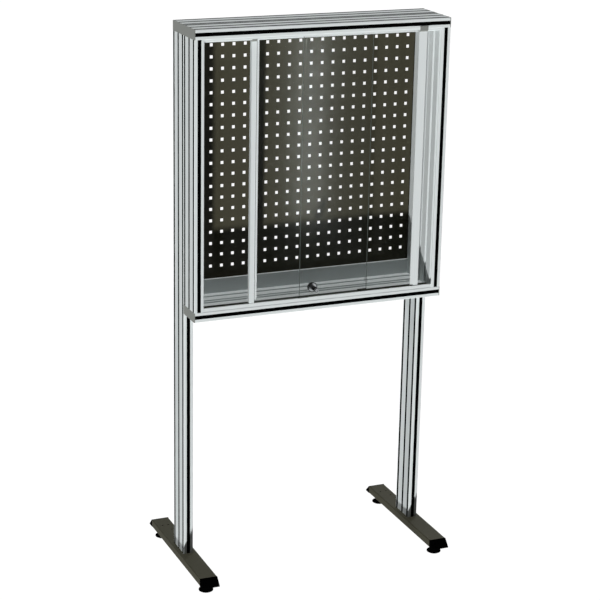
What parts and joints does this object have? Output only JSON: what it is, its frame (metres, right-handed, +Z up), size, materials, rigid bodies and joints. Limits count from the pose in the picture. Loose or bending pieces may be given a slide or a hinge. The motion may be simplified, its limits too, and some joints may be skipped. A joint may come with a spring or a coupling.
{
  "type": "lockable notice board",
  "caption": "Free-standing aluminium notice board with perforated back panel, two sliding glass doors with push lock, and steel feet.",
  "frame": {"origin": "centre of the footprint on the floor", "axes": "+Z up, +Y from the glass doors to the rear, +X to the right seen from the front"},
  "size_m": [0.892, 0.54, 1.825],
  "materials": {
    "aluminium": "satin anodised",
    "slot_plastic": "matt",
    "cap_plastic": "matt",
    "panel_paint": "satin powder coat",
    "glass": "clear",
    "rubber": "matt",
    "chrome": "polished",
    "foot_paint": "fine structure powder coat",
    "zinc": "zinc plated",
    "clear_plastic": "clear"
  },
  "bodies": {
    "frame": {"left_post": "aluminium", "right_post": "aluminium", "rear_top_beam": "aluminium", "rear_bottom_rail": "aluminium", "cabinet_top_profile": "aluminium", "cabinet_bottom_profile": "aluminium", "cabinet_left_profile": "aluminium", "cabinet_right_profile": "aluminium", "sill_profile": "aluminium", "bottom_track": "aluminium", "top_track": "aluminium", "left_post_strips": "slot_plastic", "right_post_strips": "slot_plastic", "left_side_strips": "slot_plastic", "right_side_strips": "slot_plastic", "top_strips": "slot_plastic", "bottom_strips": "slot_plastic", "track_liners": "slot_plastic", "left_foot_front_cap": "slot_plastic", "left_foot_rear_cap": "slot_plastic", "right_foot_front_cap": "slot_plastic", "right_foot_rear_cap": "slot_plastic", "cap_top_front_left": "cap_plastic", "cap_top_rear_left": "cap_plastic", "cap_bottom_left": "cap_plastic", "cap_top_front_right": "cap_plastic", "cap_top_rear_right": "cap_plastic", "cap_bottom_right": "cap_plastic", "perforated_panel": "panel_paint", "panel_gasket": "rubber", "left_foot": "foot_paint", "right_foot": "foot_paint", "foot_nuts": "zinc", "frame_bolts": "zinc", "foot_bolts": "zinc", "joint_keys": "zinc"},
    "left_door": {"left_glass": "glass", "left_stile": "aluminium", "left_stile_seal": "rubber", "left_top_guide": "cap_plastic", "left_glides": "slot_plastic", "lock_catch": "clear_plastic"},
    "right_door": {"right_glass": "glass", "right_stile": "aluminium", "right_stile_seal": "rubber", "right_top_guide": "cap_plastic", "right_glides": "slot_plastic", "lock_rosette": "chrome", "lock_nut": "chrome"},
    "lock_cylinder": {"lock_cylinder": "chrome"},
    "lock_plug": {"lock_plug": "chrome"},
    "left_front_leveller": {"left_front_pad": "slot_plastic", "left_front_stud": "zinc"},
    "left_rear_leveller": {"left_rear_pad": "slot_plastic", "left_rear_stud": "zinc"},
    "right_front_leveller": {"right_front_pad": "slot_plastic", "right_front_stud": "zinc"},
    "right_rear_leveller": {"right_rear_pad": "slot_plastic", "right_rear_stud": "zinc"}
  },
  "joints": [
    {"name": "left_door_slide", "type": "slide", "parent": "frame", "child": "left_door", "axis": [1, 0, 0], "range_m": [-0.1616, 0.2224]},
    {"name": "right_door_slide", "type": "slide", "parent": "frame", "child": "right_door", "axis": [1, 0, 0], "range_m": [-0.329, 0.048]},
    {"name": "lock_push", "type": "slide", "parent": "right_door", "child": "lock_cylinder", "axis": [0, 1, 0], "range_m": [0, 0.01], "stiffness_N_per_m": 300},
    {"name": "key_turn", "type": "hinge", "parent": "lock_cylinder", "child": "lock_plug", "pos_m": [-0.0265, -0.1832, 0.974], "axis": [0, 1, 0], "range_deg": [0, 90]},
    {"name": "left_front_height", "type": "slide", "parent": "frame", "child": "left_front_leveller", "axis": [0, 0, 1], "range_m": [-0.005, 0.01]},
    {"name": "left_rear_height", "type": "slide", "parent": "frame", "child": "left_rear_leveller", "axis": [0, 0, 1], "range_m": [-0.005, 0.01]},
    {"name": "right_front_height", "type": "slide", "parent": "frame", "child": "right_front_leveller", "axis": [0, 0, 1], "range_m": [-0.005, 0.01]},
    {"name": "right_rear_height", "type": "slide", "parent": "frame", "child": "right_rear_leveller", "axis": [0, 0, 1], "range_m": [-0.005, 0.01]}
  ]
}
